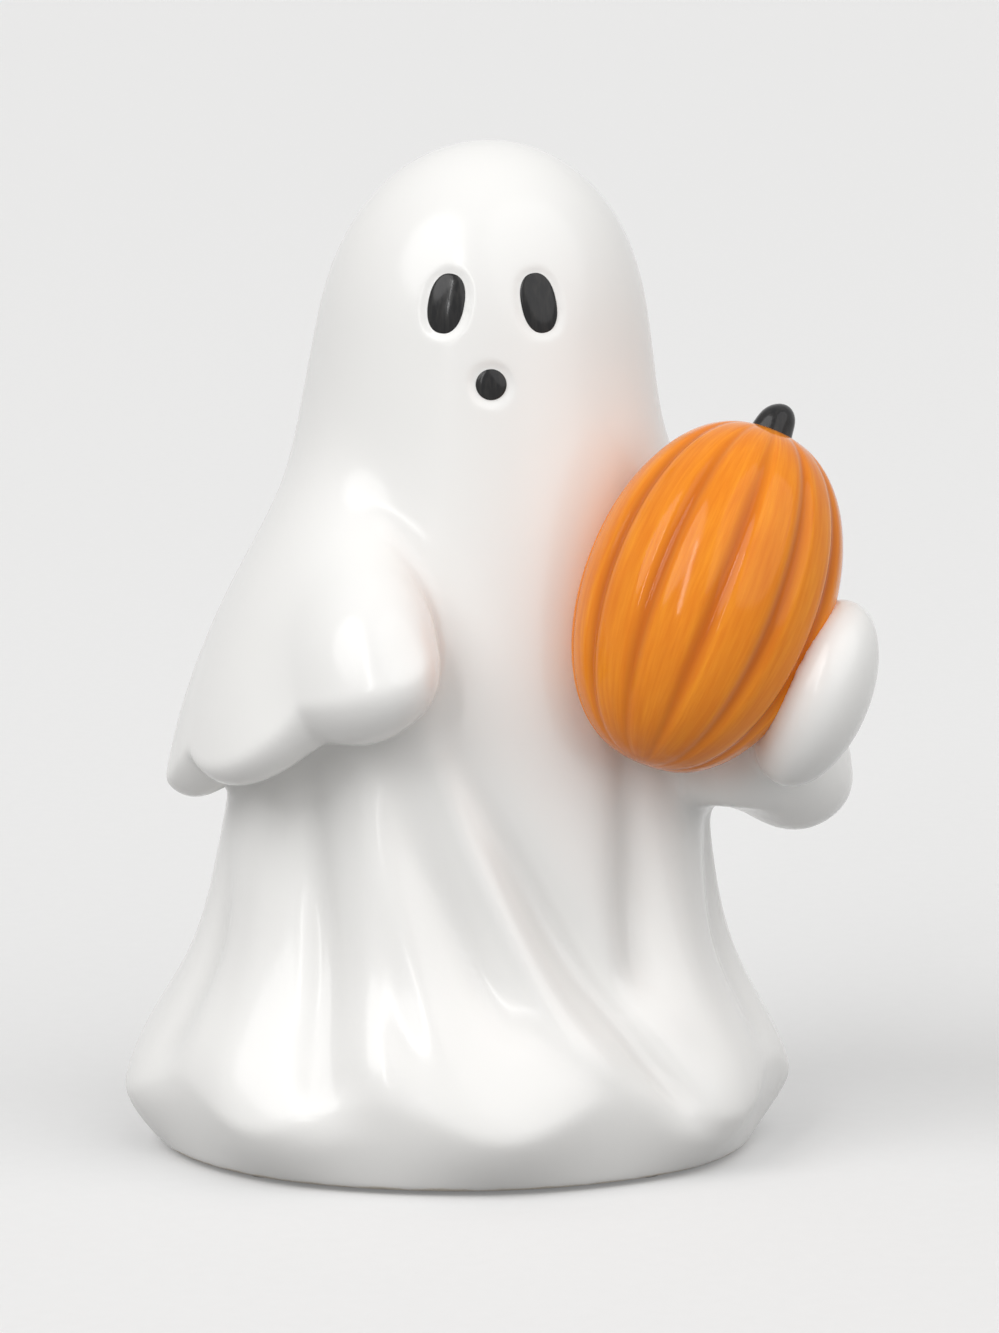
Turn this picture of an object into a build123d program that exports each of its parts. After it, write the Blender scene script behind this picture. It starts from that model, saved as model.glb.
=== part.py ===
from build123d import *
import math
import os

# Glazed ceramic ghost figure that carries a pumpkin, in millimetres with +Z up.
# The face looks along -Y. A bearing is an angle round the figure, in degrees from straight ahead towards +X.
# The origin is on the table, under the middle of the figure's overall box.

# Where the middle of the foot lies in that frame
FOOT_CENTRE_X = -6.2
FOOT_CENTRE_Y = 1.3

# Cloak: widths run across the figure, depths from front to back
TOTAL_HEIGHT = 188.0
FOOT_WIDTH = 110.0
FOOT_DEPTH = 94.0
HEM_WIDTH = 123.0
HEM_DEPTH = 107.0
HEM_HEIGHT = 15.0
WAIST_WIDTH = 90.0
WAIST_DEPTH = 78.0
WAIST_HEIGHT = 64.0
BROW_WIDTH = 63.0
BROW_DEPTH = 58.0
BROW_BELOW_TOP = 38.0
FLARE_HEIGHT = 17.5
UNDERCUT_POWER = 1.6
DOME_POWER = 3.0
FOOT_SHIFT = -1.2
HEAD_SHIFT = 5.0

# Scalloped hem of the cloak
HEM_SCALLOPS = 8
HEM_SCALLOP_BEARING = 8.6
HEM_WAVE = 3.2
HEM_BULGE = 1.4

# Folds and ridges of the skirt: bearing at the hem, drift in degrees per millimetre of height,
# lowest and highest point, depth (below zero for a ridge) and half breadth in degrees
SKIRT_FOLDS = [
    (43.0, -0.68, 8.0, 84.0, 4.6, 6.0),
    (31.0, -0.60, 14.0, 90.0, -1.3, 4.5),
    (18.0, -0.58, 26.0, 80.0, 2.6, 5.5),
    (2.0, -0.45, 20.0, 92.0, -1.2, 5.5),
    (-23.0, -0.31, 8.0, 90.0, 3.2, 6.0),
    (-13.0, -0.22, 10.0, 86.0, -1.0, 4.5),
    (40.0, 0.06, 27.0, 96.0, 3.4, 6.0),
    (56.0, 0.04, 10.0, 84.0, -1.0, 6.0),
    (-66.0, -0.16, 10.0, 70.0, 2.4, 7.0),
    (-44.0, -0.20, 10.0, 74.0, -0.9, 6.0),
    (76.0, 0.10, 10.0, 78.0, 2.2, 7.0),
    (121.0, 0.22, 8.0, 92.0, 3.2, 7.0),
    (142.0, 0.15, 8.0, 92.0, -1.0, 6.0),
    (164.0, 0.10, 8.0, 104.0, 3.4, 7.0),
    (186.0, 0.00, 8.0, 100.0, -1.0, 6.0),
    (209.0, -0.12, 8.0, 98.0, 3.4, 7.0),
    (231.0, -0.16, 8.0, 90.0, -1.0, 6.0),
    (252.0, -0.20, 8.0, 84.0, 2.8, 7.0),
]
FOLD_RUN_IN = 14.0
FOLD_RUN_OUT_SHARE = 0.5
FOLDS_ABOVE_WAIST = 36.0

# Inside of the cloak and its underside
WALL = 4.0
FOLD_ALLOWANCE = 3.4
BASE_THICKNESS = 5.0
FOOT_RING_WIDTH = 12.0
FOOT_RECESS = 2.0
POUR_HOLE_DIAMETER = 20.0

# Right sleeve, held out in front: from the shoulder down to its own scalloped hem.
# Spans run round the cloak, thicknesses outwards, and the hem rises by its tilt towards the front.
RIGHT_SHOULDER_BEARING = -66.0
RIGHT_SHOULDER_HEIGHT = 136.0
RIGHT_SHOULDER_SINK = 10.0
RIGHT_SHOULDER_SPAN = 14.0
RIGHT_SHOULDER_THICKNESS = 10.0
RIGHT_HEM_BEARING = -45.0
RIGHT_HEM_HEIGHT = 87.0
RIGHT_HEM_STAND_OFF = 2.5
RIGHT_HEM_SPAN = 66.0
RIGHT_HEM_THICKNESS = 35.0
RIGHT_HEM_TILT = 23.0
RIGHT_EARLY_SWELL = 0.35
# Angles round that hem where two of its scallops meet
RIGHT_NOTCHES = [-30.0, 58.0, 98.0, 146.0, 196.0]
# Hand under the cloth: angle round the hem, share of its reach, width, depth, length and drop
RIGHT_HAND = (4.0, 0.62, 22.0, 24.0, 30.0, -6.0)

# Pumpkin, carried on the left arm
PUMPKIN_LENGTH = 65.0
PUMPKIN_WIDTH = 45.5
PUMPKIN_BEARING = 49.0
PUMPKIN_HEIGHT = 108.0
PUMPKIN_SINK = 5.0
PUMPKIN_LEAN = 21.0
PUMPKIN_TIP_BACK = 14.0
PUMPKIN_RIBS = 12
PUMPKIN_GROOVE = 1.0
PUMPKIN_GROOVE_BREADTH = 4.4
PUMPKIN_ROUNDNESS = 0.86
STEM_LENGTH = 5.5
STEM_BASE_DIAMETER = 9.0
STEM_TIP_DIAMETER = 6.0
STEM_SINK = 3.0
STEM_BEND = 2.0
# Swell of the stem against its plain taper, by share of its length
STEM_PROFILE = [(0.0, 1.15), (0.3, 0.92), (0.65, 0.98), (0.88, 1.0), (0.97, 0.72), (1.0, 0.3)]

# Left sleeve, which hangs beside the pumpkin
LEFT_SHOULDER_BEARING = 88.0
LEFT_SHOULDER_HEIGHT = 136.0
LEFT_SHOULDER_SINK = 9.0
LEFT_SHOULDER_SPAN = 16.0
LEFT_SHOULDER_THICKNESS = 10.0
LEFT_HEM_BEARING = 80.0
LEFT_HEM_HEIGHT = 72.0
LEFT_HEM_STAND_OFF = 8.5
LEFT_HEM_SPAN = 44.0
LEFT_HEM_THICKNESS = 34.0
LEFT_HEM_TILT = -4.0
LEFT_EARLY_SWELL = 1.0
LEFT_NOTCHES = [20.0, 110.0]
LEFT_CUFF = (72.0, 0.45, 30.0, 19.5, 27.0, -3.0)

# Both sleeves: the roll of the hem and its scallops
SLEEVE_ROLL = 7.0
SCALLOP_BULGE = 1.3
SCALLOP_RISE = 14.0
SCALLOP_KEPT = 0.6

# Mitt at the end of the left sleeve, placed from the pumpkin that it holds
MITT_LENGTH = 36.0
MITT_WIDTH = 19.5
MITT_DEPTH = 28.0
MITT_RIGHT_OF_PUMPKIN = 19.8
MITT_AHEAD_OF_PUMPKIN = 1.0
MITT_BELOW_PUMPKIN = 17.5
MITT_LEAN = 22.0

# Face, turned a little from straight ahead
FACE_BEARING = 3.4
EYE_SPREAD = 16.8
EYE_BELOW_TOP = 27.5
EYE_WIDTH = 6.7
EYE_LENGTH = 11.0
EYE_LEAN = 8.0
MOUTH_BELOW_TOP = 42.0
MOUTH_DIAMETER = 5.6
INLAY_DEPTH = 1.4
INLAY_REACH = 6.0

# Stick-on pads under the foot ring
PAD_DIAMETER = 6.0
PAD_THICKNESS = 0.8
PAD_BEARINGS = [45.0, 135.0, 225.0, 315.0]

# How finely the formulas are sampled
CLOAK_POINTS = 96
CLOAK_UNDERCUT_ROWS = 4
CLOAK_SKIRT_ROWS = 13
CLOAK_UPPER_ROWS = 5
CLOAK_DOME_ROWS = 7
SKIRT_ROW_CROWDING = 1.2
SLOPE_STEP = 0.5
CAVITY_POINTS = 24
CAVITY_ROWS = 8
CAVITY_DOME_ROWS = 4
STEM_POINTS = 12
SLEEVE_POINTS = 36
SLEEVE_ROWS = 7
SLEEVE_ROLL_ROWS = 4
LOBE_ROWS = 7
LOBE_POINTS = 12
PUMPKIN_POINTS_PER_RIB = 6
PUMPKIN_ROWS = 11

CLOAK_WIDTHS = (FOOT_WIDTH, HEM_WIDTH, WAIST_WIDTH, BROW_WIDTH)
CLOAK_DEPTHS = (FOOT_DEPTH, HEM_DEPTH, WAIST_DEPTH, BROW_DEPTH)
FOOT_LEVEL = PAD_THICKNESS
BROW_HEIGHT = TOTAL_HEIGHT - BROW_BELOW_TOP
EYE_HEIGHT = TOTAL_HEIGHT - EYE_BELOW_TOP
MOUTH_HEIGHT = TOTAL_HEIGHT - MOUTH_BELOW_TOP
RIGHT_SLEEVE = (
    (RIGHT_SHOULDER_BEARING, RIGHT_SHOULDER_HEIGHT, -RIGHT_SHOULDER_SINK,
     RIGHT_SHOULDER_SPAN, RIGHT_SHOULDER_THICKNESS),
    (RIGHT_HEM_BEARING, RIGHT_HEM_HEIGHT, RIGHT_HEM_STAND_OFF,
     RIGHT_HEM_SPAN, RIGHT_HEM_THICKNESS, RIGHT_HEM_TILT, RIGHT_EARLY_SWELL),
    RIGHT_NOTCHES,
    RIGHT_HAND,
)
LEFT_SLEEVE = (
    (LEFT_SHOULDER_BEARING, LEFT_SHOULDER_HEIGHT, -LEFT_SHOULDER_SINK,
     LEFT_SHOULDER_SPAN, LEFT_SHOULDER_THICKNESS),
    (LEFT_HEM_BEARING, LEFT_HEM_HEIGHT, LEFT_HEM_STAND_OFF,
     LEFT_HEM_SPAN, LEFT_HEM_THICKNESS, LEFT_HEM_TILT, LEFT_EARLY_SWELL),
    LEFT_NOTCHES,
    LEFT_CUFF,
)
SKIRT_TOP = WAIST_HEIGHT + FOLDS_ABOVE_WAIST
NEARLY_CLOSED = math.radians(87.0)


def mix(start, end, share):
    """Value a share of the way from start to end."""
    return start + (end - start) * share


def ease(share):
    """Smooth step from 0 to 1."""
    share = min(1.0, max(0.0, share))
    return share * share * (3.0 - 2.0 * share)


def turned(angle):
    """The same angle between -180 and 180 degrees."""
    return (angle + 180.0) % 360.0 - 180.0


def closed_wire(points):
    """Closed smooth wire whose points keep the same parameters on every section."""
    count = len(points)
    edge = Edge.make_spline(points, periodic=True, parameters=[i / count for i in range(count + 1)])
    return Wire([edge])


def largest(shape):
    """The largest solid that a cut has left."""
    return max(shape.solids(), key=lambda solid: solid.volume)


def straight_half(height, sizes):
    """Half size of the cloak's plain cone at a height."""
    waist, brow = sizes[2:]
    share = (height - WAIST_HEIGHT) / (BROW_HEIGHT - WAIST_HEIGHT)
    return mix(waist, brow, share) / 2.0


def cloak_half(height, sizes):
    """Half size of the smooth cloak at a height, in one of its two directions."""
    foot, hem = sizes[0] / 2.0, sizes[1] / 2.0
    if height <= HEM_HEIGHT:
        below = (HEM_HEIGHT - height) / (HEM_HEIGHT - FOOT_LEVEL)
        return hem - (hem - foot) * max(0.0, below) ** UNDERCUT_POWER
    flare = hem - straight_half(HEM_HEIGHT, sizes)
    half = straight_half(height, sizes)
    half += flare * math.exp(-(((height - HEM_HEIGHT) / FLARE_HEIGHT) ** 2))
    if height > BROW_HEIGHT:
        rise = min(1.0, (height - BROW_HEIGHT) / (TOTAL_HEIGHT - BROW_HEIGHT))
        half *= math.sqrt(1.0 - rise**DOME_POWER)
    return half


def cloak_shift(height):
    """How far the cloak's middle has moved towards +X at a height."""
    return mix(FOOT_SHIFT, HEAD_SHIFT, height / TOTAL_HEIGHT)


def hem_wave(bearing):
    """1 on a scallop's crest, where the hem is lowest, and -1 between two scallops."""
    return math.cos(math.radians(HEM_SCALLOPS * (bearing - HEM_SCALLOP_BEARING)))


def hem_share(height):
    """How much of the hem's wave is left at a height."""
    if height <= HEM_HEIGHT:
        return (height - FOOT_LEVEL) / (HEM_HEIGHT - FOOT_LEVEL)
    return math.exp(-(((height - HEM_HEIGHT) / FLARE_HEIGHT) ** 2))


def fold_depth(bearing, height):
    """Depth of the skirt's folds at a bearing and a height."""
    depth = 0.0
    for at_hem, drift, lowest, highest, deepest, breadth in SKIRT_FOLDS:
        middle = at_hem + drift * (height - HEM_HEIGHT)
        away = turned(bearing - middle) / breadth
        fade = ease((height - lowest) / FOLD_RUN_IN)
        fade *= ease((highest - height) / (FOLD_RUN_OUT_SHARE * highest))
        depth += deepest * fade * math.exp(-away * away)
    return depth


def cloak_point(bearing, height, inset=0.0, draped=False):
    """Point on the cloak; draped adds the folds and the scalloped hem."""
    angle = math.radians(bearing)
    wave = hem_wave(bearing) * hem_share(height) if draped else 0.0
    grow = HEM_BULGE * wave - inset
    if draped:
        grow -= fold_depth(bearing, height)
    x = cloak_shift(height) + (cloak_half(height, CLOAK_WIDTHS) + grow) * math.sin(angle)
    y = -(cloak_half(height, CLOAK_DEPTHS) + grow) * math.cos(angle)
    return Vector(x, y, height - HEM_WAVE * wave)


def outward(bearing):
    """Level direction away from the figure at a bearing."""
    angle = math.radians(bearing)
    return Vector(math.sin(angle), -math.cos(angle), 0)


def cloak_normal(bearing, height):
    """Outward direction of the smooth cloak at a point."""
    across = cloak_point(bearing + SLOPE_STEP, height) - cloak_point(bearing - SLOPE_STEP, height)
    rise = cloak_point(bearing, height + SLOPE_STEP) - cloak_point(bearing, height - SLOPE_STEP)
    return across.cross(rise).normalized()


def dome_heights(base, top, rows):
    """Heights that close a dome in even steps, up to a small flat."""
    heights = []
    for row in range(1, rows + 1):
        angle = NEARLY_CLOSED * row / rows
        heights.append(base + (top - base) * math.sin(angle) ** (2.0 / DOME_POWER))
    return heights


def cloak_heights():
    """Heights of the cloak's sections, from the foot to the top of the head."""
    rows = [mix(FOOT_LEVEL, HEM_HEIGHT, i / CLOAK_UNDERCUT_ROWS) for i in range(CLOAK_UNDERCUT_ROWS)]
    for i in range(CLOAK_SKIRT_ROWS):
        rows.append(mix(HEM_HEIGHT, SKIRT_TOP, (i / CLOAK_SKIRT_ROWS) ** SKIRT_ROW_CROWDING))
    rows += [mix(SKIRT_TOP, BROW_HEIGHT, i / CLOAK_UPPER_ROWS) for i in range(CLOAK_UPPER_ROWS + 1)]
    return rows + dome_heights(BROW_HEIGHT, TOTAL_HEIGHT, CLOAK_DOME_ROWS)


def cloak_body():
    """The whole cloak and head as one solid, before it is hollowed."""
    wires = []
    for height in cloak_heights():
        bearings = [360.0 * i / CLOAK_POINTS for i in range(CLOAK_POINTS)]
        wires.append(closed_wire([cloak_point(b, height, draped=True) for b in bearings]))
    return Solid.make_loft(wires)


def cavity_ring(height):
    """Points round the casting cavity; the wall is thicker in the skirt, where folds cut into it."""
    folded = ease((SKIRT_TOP - height) / FOLDS_ABOVE_WAIST)
    inset = WALL + FOLD_ALLOWANCE * folded
    return [cloak_point(360.0 * i / CAVITY_POINTS, height, inset) for i in range(CAVITY_POINTS)]


def casting_cavity():
    """The hollow that slip casting leaves, smooth behind the folds."""
    floor = FOOT_LEVEL + BASE_THICKNESS
    ceiling = TOTAL_HEIGHT - WALL
    heights = [floor] + [mix(HEM_HEIGHT, BROW_HEIGHT, i / CAVITY_ROWS) for i in range(CAVITY_ROWS + 1)]
    wires = [closed_wire(cavity_ring(height)) for height in heights]
    brow = cavity_ring(BROW_HEIGHT)
    middle = Vector(cloak_shift(BROW_HEIGHT), 0, BROW_HEIGHT)
    for row in range(1, CAVITY_DOME_ROWS + 1):
        angle = NEARLY_CLOSED * row / CAVITY_DOME_ROWS
        rise = Vector(0, 0, (ceiling - BROW_HEIGHT) * math.sin(angle))
        wires.append(closed_wire([middle + (point - middle) * math.cos(angle) + rise for point in brow]))
    return Solid.make_loft(wires)


def foot_outline(inset):
    """Outline of the foot, drawn in from its edge."""
    return Ellipse(FOOT_WIDTH / 2.0 - inset, FOOT_DEPTH / 2.0 - inset)


def underside():
    """What is taken out of the foot: the shallow recess inside its ring and the pour hole."""
    middle = Pos(FOOT_SHIFT, 0, FOOT_LEVEL)
    recess = extrude(middle * foot_outline(FOOT_RING_WIDTH), FOOT_RECESS)
    hole = extrude(middle * Circle(POUR_HOLE_DIAMETER / 2.0), BASE_THICKNESS + WALL)
    return recess + hole


def surface_plane(bearing, height):
    """Plane that lies on the smooth cloak, with its normal outwards and its X level."""
    normal = cloak_normal(bearing, height)
    angle = math.radians(bearing)
    return Plane(cloak_point(bearing, height), x_dir=(math.cos(angle), math.sin(angle), 0), z_dir=normal)


def inlay_tool(bearing, height, sketch):
    """Prism through the cloak's surface that cuts a socket and shapes its inlay."""
    plane = surface_plane(bearing, height)
    return extrude(plane.offset(-INLAY_DEPTH) * sketch, INLAY_DEPTH + INLAY_REACH)


def eye_tool(side):
    """Prism of one eye; side is -1 for the figure's right eye and 1 for its left."""
    sketch = Rot(0, 0, side * EYE_LEAN) * Ellipse(EYE_WIDTH / 2.0, EYE_LENGTH / 2.0)
    return inlay_tool(FACE_BEARING + side * EYE_SPREAD, EYE_HEIGHT, sketch)


def mouth_tool():
    """Prism of the round mouth."""
    return inlay_tool(FACE_BEARING, MOUTH_HEIGHT, Circle(MOUTH_DIAMETER / 2.0))


def sleeve_frame(sleeve, share):
    """Centre, directions and half sizes of a sleeve's section, a share of the way to its hem."""
    shoulder, hem = sleeve[:2]
    swell = mix(share, math.sin(share * math.pi / 2.0), hem[6])
    bearing = mix(shoulder[0], hem[0], share)
    height = mix(shoulder[1], hem[1], share)
    stand_off, span, thickness = (mix(a, b, swell) for a, b in zip(shoulder[2:5], hem[2:5]))
    tilt = math.radians(hem[5] * share)
    out = outward(bearing)
    level = Vector(-out.Y, out.X, 0)
    along = level * math.cos(tilt) + Vector(0, 0, 1) * math.sin(tilt)
    centre = cloak_point(bearing, height) + out * stand_off
    return centre, along, out, along.cross(out), span / 2.0, thickness / 2.0


def scallop(turn, notches):
    """1 on the middle of a hem's scallop, 0 where two of them meet and beyond the last ones."""
    turn = (turn - notches[0]) % 360.0 + notches[0]
    for low, high in zip(notches, notches[1:]):
        if low <= turn <= high:
            return math.sin(math.pi * (turn - low) / (high - low))
    return 0.0


def sleeve_wire(sleeve, share, inset=0.0, depth=0.0, kept=1.0):
    """Flat section of a sleeve, drawn in and lowered where it belongs to the rolled hem."""
    centre, along, out, down, half_span, half_thick = sleeve_frame(sleeve, share)
    above = (1.0 - share) * (sleeve[0][1] - sleeve[1][1])
    bulge = SCALLOP_BULGE * kept * math.exp(-((above / SCALLOP_RISE) ** 2))
    points = []
    for i in range(SLEEVE_POINTS):
        turn = 360.0 * i / SLEEVE_POINTS
        grow = bulge * (2.0 * scallop(turn, sleeve[2]) - 1.0) - inset
        angle = math.radians(turn)
        forward = along * ((half_span + grow) * math.cos(angle))
        sideways = out * ((half_thick + grow) * math.sin(angle))
        points.append(centre + down * depth + forward + sideways)
    return closed_wire(points)


def ellipsoid(plane, width, depth, length):
    """Rounded lobe with its three sizes along a plane's own axes."""
    wires = []
    for row in range(LOBE_ROWS):
        latitude = mix(-NEARLY_CLOSED, NEARLY_CLOSED, row / (LOBE_ROWS - 1))
        shrink = math.cos(latitude) / 2.0
        turns = [2.0 * math.pi * i / LOBE_POINTS for i in range(LOBE_POINTS)]
        wires.append(closed_wire([
            plane.from_local_coords(Vector(
                width * shrink * math.cos(turn),
                depth * shrink * math.sin(turn),
                length / 2.0 * math.sin(latitude),
            ))
            for turn in turns
        ]))
    return Solid.make_loft(wires)


def sleeve_lobe(sleeve):
    """Rounded lobe in a sleeve's hem: the hand under the cloth, or the cuff's hanging corner."""
    turn, reach, width, depth, length, drop = sleeve[3]
    centre, along, out, down, half_span, half_thick = sleeve_frame(sleeve, 1.0)
    angle = math.radians(turn)
    place = along * (half_span * reach * math.cos(angle)) + out * (half_thick * reach * math.sin(angle))
    round_hem = (along * (-half_span * math.sin(angle)) + out * (half_thick * math.cos(angle))).normalized()
    return ellipsoid(Plane(centre + place + down * drop, x_dir=round_hem, z_dir=down), width, depth, length)


def sleeve_body(sleeve):
    """A sleeve with its rolled, scalloped hem, before it is fitted to the cloak."""
    wires = [sleeve_wire(sleeve, row / SLEEVE_ROWS) for row in range(SLEEVE_ROWS + 1)]
    for row in range(1, SLEEVE_ROLL_ROWS + 1):
        angle = math.pi / 2.0 * row / SLEEVE_ROLL_ROWS
        inset = SLEEVE_ROLL * (1.0 - math.cos(angle))
        kept = mix(SCALLOP_KEPT, 1.0, math.cos(angle))
        wires.append(sleeve_wire(sleeve, 1.0, inset, SLEEVE_ROLL * math.sin(angle), kept))
    return Solid.make_loft(wires) + sleeve_lobe(sleeve)


def mitt_body():
    """Egg-shaped mitt that leans against the pumpkin's side."""
    offset = Vector(MITT_RIGHT_OF_PUMPKIN, -MITT_AHEAD_OF_PUMPKIN, -MITT_BELOW_PUMPKIN)
    lean = math.radians(MITT_LEAN)
    upright = Vector(math.sin(lean), 0, math.cos(lean))
    plane = Plane(pumpkin_plane().origin + offset, x_dir=(math.cos(lean), 0, -math.sin(lean)), z_dir=upright)
    return ellipsoid(plane, MITT_WIDTH, MITT_DEPTH, MITT_LENGTH)


def pumpkin_plane():
    """Frame of the pumpkin: its middle, with Z along its axis towards the stem."""
    reach = PUMPKIN_WIDTH / 2.0 - PUMPKIN_SINK
    centre = cloak_point(PUMPKIN_BEARING, PUMPKIN_HEIGHT) + outward(PUMPKIN_BEARING) * reach
    lean, back = math.radians(PUMPKIN_LEAN), math.radians(PUMPKIN_TIP_BACK)
    axis = Vector(math.sin(lean), math.cos(lean) * math.sin(back), math.cos(lean) * math.cos(back))
    return Plane(centre, x_dir=Vector(0, 1, 0).cross(axis), z_dir=axis)


def pumpkin_body():
    """Ribbed pumpkin: sections across its axis, each drawn in at the grooves."""
    plane = pumpkin_plane()
    count = PUMPKIN_RIBS * PUMPKIN_POINTS_PER_RIB
    wires = []
    for row in range(PUMPKIN_ROWS):
        latitude = mix(-NEARLY_CLOSED, NEARLY_CLOSED, row / (PUMPKIN_ROWS - 1))
        radius = PUMPKIN_WIDTH / 2.0 * math.cos(latitude) ** PUMPKIN_ROUNDNESS
        rise = PUMPKIN_LENGTH / 2.0 * math.sin(latitude)
        points = []
        for i in range(count):
            turn = 360.0 * i / count
            off = (turn + 180.0 / PUMPKIN_RIBS) % (360.0 / PUMPKIN_RIBS) - 180.0 / PUMPKIN_RIBS
            groove = PUMPKIN_GROOVE * math.cos(latitude) * math.exp(-((off / PUMPKIN_GROOVE_BREADTH) ** 2))
            reach = radius - groove
            x, y = reach * math.cos(math.radians(turn)), reach * math.sin(math.radians(turn))
            points.append(plane.from_local_coords(Vector(x, y, rise)))
        wires.append(closed_wire(points))
    return Solid.make_loft(wires)


def stem_body():
    """Short tapered stem that leans over, with a rounded tip."""
    plane = pumpkin_plane()
    base = PUMPKIN_LENGTH / 2.0 - STEM_SINK
    turns = [2.0 * math.pi * i / STEM_POINTS for i in range(STEM_POINTS)]
    wires = []
    for share, swell in STEM_PROFILE:
        radius = mix(STEM_BASE_DIAMETER, STEM_TIP_DIAMETER, share) / 2.0 * swell
        lean = STEM_BEND * share * share
        rise = base + (STEM_LENGTH + STEM_SINK) * share
        wires.append(closed_wire([
            plane.from_local_coords(Vector(lean + radius * math.cos(turn), radius * math.sin(turn), rise))
            for turn in turns
        ]))
    return Solid.make_loft(wires)


def foot_pads():
    """Thin round pads stuck on the foot ring, one at each bearing."""
    pads = []
    for bearing in PAD_BEARINGS:
        angle = math.radians(bearing)
        x = FOOT_SHIFT + (FOOT_WIDTH - FOOT_RING_WIDTH) / 2.0 * math.sin(angle)
        y = -(FOOT_DEPTH - FOOT_RING_WIDTH) / 2.0 * math.cos(angle)
        pads.append(Pos(x, y, 0) * extrude(Circle(PAD_DIAMETER / 2.0), PAD_THICKNESS))
    return Compound([largest(pad) for pad in pads])


def build():
    """All pieces of the figure by name, about the middle of its foot."""
    body = cloak_body()
    pumpkin = largest(pumpkin_body() - body)
    right_sleeve = largest(sleeve_body(RIGHT_SLEEVE) - body)
    left_sleeve = largest((sleeve_body(LEFT_SLEEVE) + mitt_body()) - body - pumpkin)
    tools = {"right_eye": eye_tool(-1), "left_eye": eye_tool(1), "mouth": mouth_tool()}
    shell = body - casting_cavity() - underside()
    for tool in tools.values():
        shell = shell - tool
    pieces = {
        "cloak_shell": largest(shell),
        "right_sleeve": right_sleeve,
        "left_sleeve": left_sleeve,
        "pumpkin": pumpkin,
        "pumpkin_stem": largest(stem_body() - pumpkin),
        "foot_pads": foot_pads(),
    }
    for name, tool in tools.items():
        pieces[name] = largest(tool & body)
    return pieces


os.makedirs("parts", exist_ok=True)
for name, piece in build().items():
    placed = Pos(FOOT_CENTRE_X, FOOT_CENTRE_Y, 0) * piece
    export_step(placed, f"parts/{name}.step")
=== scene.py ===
import math

import bpy
import numpy as np
import openvdb
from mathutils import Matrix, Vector


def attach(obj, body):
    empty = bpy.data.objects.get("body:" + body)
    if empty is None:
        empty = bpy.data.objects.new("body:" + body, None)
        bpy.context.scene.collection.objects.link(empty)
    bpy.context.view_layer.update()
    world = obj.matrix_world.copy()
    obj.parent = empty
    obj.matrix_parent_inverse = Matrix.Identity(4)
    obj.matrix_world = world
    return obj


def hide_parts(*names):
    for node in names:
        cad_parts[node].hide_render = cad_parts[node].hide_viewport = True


bl_info = {
    "name": "Glazed Ghost Figure",
    "version": (1, 0, 0),
    "blender": (4, 5, 0),
    "location": "3D View > Sidebar > Ghost",
    "description": "Dresses the packed ghost figure with its glazed skin, pumpkin, face and pads",
    "category": "Object",
}

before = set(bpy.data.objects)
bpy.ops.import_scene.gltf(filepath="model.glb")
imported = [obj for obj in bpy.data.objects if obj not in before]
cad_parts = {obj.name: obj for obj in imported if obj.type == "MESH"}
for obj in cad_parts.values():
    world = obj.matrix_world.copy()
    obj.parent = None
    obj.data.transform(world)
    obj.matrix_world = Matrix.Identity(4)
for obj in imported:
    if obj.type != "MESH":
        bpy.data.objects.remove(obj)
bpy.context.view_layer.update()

# Sizes are in millimetres about the middle of the foot, as in the part's source. Blender works in metres.
MM = 0.001
FOOT_CENTRE = np.array((-6.2, 1.3, 0.0))

# Cloak
TOTAL_HEIGHT = 188.0
CLOAK_WIDTHS = (110.0, 123.0, 90.0, 63.0)
CLOAK_DEPTHS = (94.0, 107.0, 78.0, 58.0)
HEM_HEIGHT = 15.0
WAIST_HEIGHT = 64.0
BROW_HEIGHT = 150.0
FLARE_HEIGHT = 17.5
UNDERCUT_POWER = 1.6
DOME_POWER = 3.0
FOOT_SHIFT = -1.2
HEAD_SHIFT = 5.0
FOOT_LEVEL = 0.8
HEM_SCALLOPS = 8
HEM_SCALLOP_BEARING = 8.6
HEM_WAVE = 3.2
HEM_BULGE = 1.4

# Folds: bearing at the hem, drift in degrees per millimetre, lowest, highest, depth and half breadth in degrees
SKIRT_FOLDS = (
    (43.0, -0.68, 8.0, 84.0, 4.6, 6.0),
    (30.5, -0.60, 14.0, 92.0, -1.9, 4.0),
    (18.0, -0.58, 26.0, 80.0, 2.6, 5.5),
    (2.0, -0.45, 20.0, 92.0, -1.2, 5.5),
    (-23.0, -0.31, 8.0, 90.0, 3.2, 6.0),
    (-13.0, -0.22, 10.0, 86.0, -1.0, 4.5),
    (40.0, 0.06, 27.0, 96.0, 3.4, 6.0),
    (56.0, 0.04, 10.0, 84.0, -1.0, 6.0),
    (-66.0, -0.16, 10.0, 70.0, 2.4, 7.0),
    (-44.0, -0.2, 10.0, 74.0, -0.9, 6.0),
    (76.0, 0.10, 10.0, 78.0, 2.2, 7.0),
    (121.0, 0.22, 8.0, 92.0, 3.2, 7.0),
    (142.0, 0.15, 8.0, 92.0, -1.0, 6.0),
    (164.0, 0.10, 8.0, 104.0, 3.4, 7.0),
    (186.0, 0.0, 8.0, 100.0, -1.0, 6.0),
    (209.0, -0.12, 8.0, 98.0, 3.4, 7.0),
    (231.0, -0.16, 8.0, 90.0, -1.0, 6.0),
    (252.0, -0.20, 8.0, 84.0, 2.8, 7.0),
)
FOLD_FADE_BELOW = 14.0
FOLD_FADE_ABOVE = 0.5

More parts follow.
